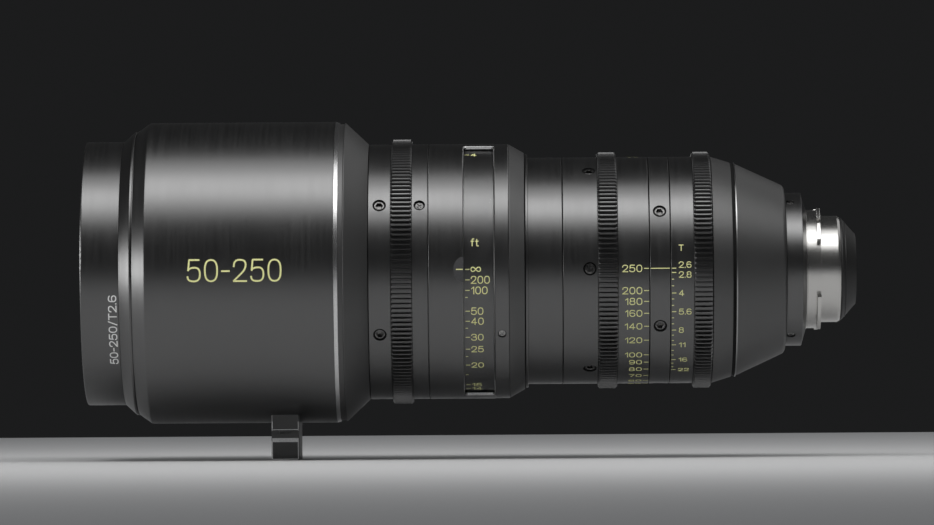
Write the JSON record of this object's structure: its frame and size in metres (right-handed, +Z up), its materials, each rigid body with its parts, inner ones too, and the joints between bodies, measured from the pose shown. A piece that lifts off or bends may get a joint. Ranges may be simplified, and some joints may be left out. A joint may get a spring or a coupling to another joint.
{
  "type": "cinema zoom lens",
  "caption": "Cinema zoom lens with geared focus, zoom and iris rings, a windowed distance scale, a support foot and a four-lug bayonet mount.",
  "frame": {"origin": "on the optical axis, at the seat plane of the bayonet mount's lugs", "axes": "+X along the optical axis towards the camera body, -X is the front glass, +Z up, -Y is the side with the scales and index lines"},
  "size_m": [0.3905, 0.153, 0.1717],
  "materials": {
    "black_satin": "satin black anodised, fine turning marks",
    "black_matte": "bead-blasted black anodised",
    "foot_black": "black anodised, milled, bright worn edges",
    "gear_black": "black anodised, hobbed teeth",
    "bright_trim": "diamond-cut bright",
    "mount_steel": "turned stainless steel",
    "screw_black": "blackened steel",
    "scale_black": "black anodised, filled yellow marks",
    "coated_glass": "polished, anti-reflection coated",
    "window_pane": "clear, polished",
    "inner_black": "matte black anodised",
    "inner_brass": "turned brass",
    "blade_steel": "blued spring steel"
  },
  "bodies": {
    "barrel": {"front_ring": "black_satin", "front_step_ring": "black_matte", "front_housing": "black_satin", "housing_trim_ring": "bright_trim", "housing_rear_cone": "black_matte", "support_foot": "foot_black", "front_barrel": "inner_black", "front_glass": "coated_glass", "main_barrel": "inner_black", "scale_cover": "black_satin", "scale_window": "window_pane", "cover_lock_ring": "black_satin", "cover_cone": "black_matte", "mid_sleeve": "black_satin", "index_ring": "black_satin", "index_ring_screws": "screw_black", "rear_cone_ring": "black_matte", "rear_housing": "black_matte", "mount_collar": "black_matte", "small_cross_screws": "screw_black", "lens_mount": "mount_steel", "rear_shroud": "black_matte", "guide_barrel": "inner_black", "iris_housing": "inner_black", "relay_cell": "inner_black", "relay_glasses": "coated_glass"},
    "focus_ring": {"focus_ring": "black_satin", "focus_clamp_ring": "black_satin", "focus_gear": "gear_black", "focus_ring_screws": "screw_black", "focus_stop_screws": "screw_black", "focus_scale_ring": "scale_black", "focus_drive_key": "inner_brass", "focus_helicoid": "inner_brass"},
    "focus_group": {"focus_cell": "inner_black", "focus_glass": "coated_glass", "focus_followers": "inner_brass"},
    "zoom_ring": {"zoom_ring": "black_satin", "zoom_clamp_ring": "black_satin", "zoom_gear": "gear_black", "zoom_ring_screws": "screw_black", "zoom_drive_pin": "inner_brass", "cam_barrel": "inner_brass"},
    "variator": {"variator_cell": "inner_black", "variator_glass": "coated_glass", "variator_rollers": "inner_brass"},
    "compensator": {"compensator_cell": "inner_black", "compensator_glass": "coated_glass", "compensator_rollers": "inner_brass"},
    "iris_ring": {"iris_ring": "black_satin", "iris_gear": "gear_black", "iris_cam_plate": "blade_steel", "iris_drive_pin": "inner_brass"},
    "iris_blade_1": {"iris_blade_1": "blade_steel"},
    "iris_blade_2": {"iris_blade_2": "blade_steel"},
    "iris_blade_3": {"iris_blade_3": "blade_steel"},
    "iris_blade_4": {"iris_blade_4": "blade_steel"},
    "iris_blade_5": {"iris_blade_5": "blade_steel"},
    "iris_blade_6": {"iris_blade_6": "blade_steel"},
    "iris_blade_7": {"iris_blade_7": "blade_steel"}
  },
  "joints": [
    {"name": "focus_turn", "type": "hinge", "parent": "barrel", "child": "focus_ring", "pos_m": [-0.2168, 0, 0], "axis": [-1, 0, 0], "range_deg": [0, 290]},
    {"name": "zoom_turn", "type": "hinge", "parent": "barrel", "child": "zoom_ring", "pos_m": [-0.1128, 0, 0], "axis": [-1, 0, 0], "range_deg": [0, 95]},
    {"name": "iris_turn", "type": "hinge", "parent": "barrel", "child": "iris_ring", "pos_m": [-0.0647, 0, 0], "axis": [-1, 0, 0], "range_deg": [0, 64]},
    {"name": "focus_slide", "type": "slide", "parent": "barrel", "child": "focus_group", "axis": [-1, 0, 0], "range_m": [0, 0.02]},
    {"name": "variator_slide", "type": "slide", "parent": "barrel", "child": "variator", "axis": [-1, 0, 0], "range_m": [0, 0.04]},
    {"name": "compensator_slide", "type": "slide", "parent": "barrel", "child": "compensator", "axis": [1, 0, 0], "range_m": [0, 0.014]},
    {"name": "blade_1_swing", "type": "hinge", "parent": "barrel", "child": "iris_blade_1", "pos_m": [-0.0868, -0.0335, 0], "axis": [-1, 0, 0], "range_deg": [0, 30.5]},
    {"name": "blade_2_swing", "type": "hinge", "parent": "barrel", "child": "iris_blade_2", "pos_m": [-0.08645, -0.02089, 0.02619], "axis": [-1, 0, 0], "range_deg": [0, 30.5]},
    {"name": "blade_3_swing", "type": "hinge", "parent": "barrel", "child": "iris_blade_3", "pos_m": [-0.0861, 0.00745, 0.03266], "axis": [-1, 0, 0], "range_deg": [0, 30.5]},
    {"name": "blade_4_swing", "type": "hinge", "parent": "barrel", "child": "iris_blade_4", "pos_m": [-0.08575, 0.03018, 0.01454], "axis": [-1, 0, 0], "range_deg": [0, 30.5]},
    {"name": "blade_5_swing", "type": "hinge", "parent": "barrel", "child": "iris_blade_5", "pos_m": [-0.0854, 0.03018, -0.01454], "axis": [-1, 0, 0], "range_deg": [0, 30.5]},
    {"name": "blade_6_swing", "type": "hinge", "parent": "barrel", "child": "iris_blade_6", "pos_m": [-0.08505, 0.00745, -0.03266], "axis": [-1, 0, 0], "range_deg": [0, 30.5]},
    {"name": "blade_7_swing", "type": "hinge", "parent": "barrel", "child": "iris_blade_7", "pos_m": [-0.0847, -0.02089, -0.02619], "axis": [-1, 0, 0], "range_deg": [0, 30.5]}
  ],
  "couplings": [
    {"joint": "focus_slide", "follows": "focus_turn", "m_per_rad": 0.0039514},
    {"joint": "variator_slide", "follows": "zoom_turn", "m_per_rad": 0.024125},
    {"joint": "compensator_slide", "follows": "zoom_turn", "m_per_rad": 0.0084436},
    {"joint": "blade_1_swing", "follows": "iris_turn", "ratio": 0.47656},
    {"joint": "blade_2_swing", "follows": "iris_turn", "ratio": 0.47656},
    {"joint": "blade_3_swing", "follows": "iris_turn", "ratio": 0.47656},
    {"joint": "blade_4_swing", "follows": "iris_turn", "ratio": 0.47656},
    {"joint": "blade_5_swing", "follows": "iris_turn", "ratio": 0.47656},
    {"joint": "blade_6_swing", "follows": "iris_turn", "ratio": 0.47656},
    {"joint": "blade_7_swing", "follows": "iris_turn", "ratio": 0.47656}
  ]
}
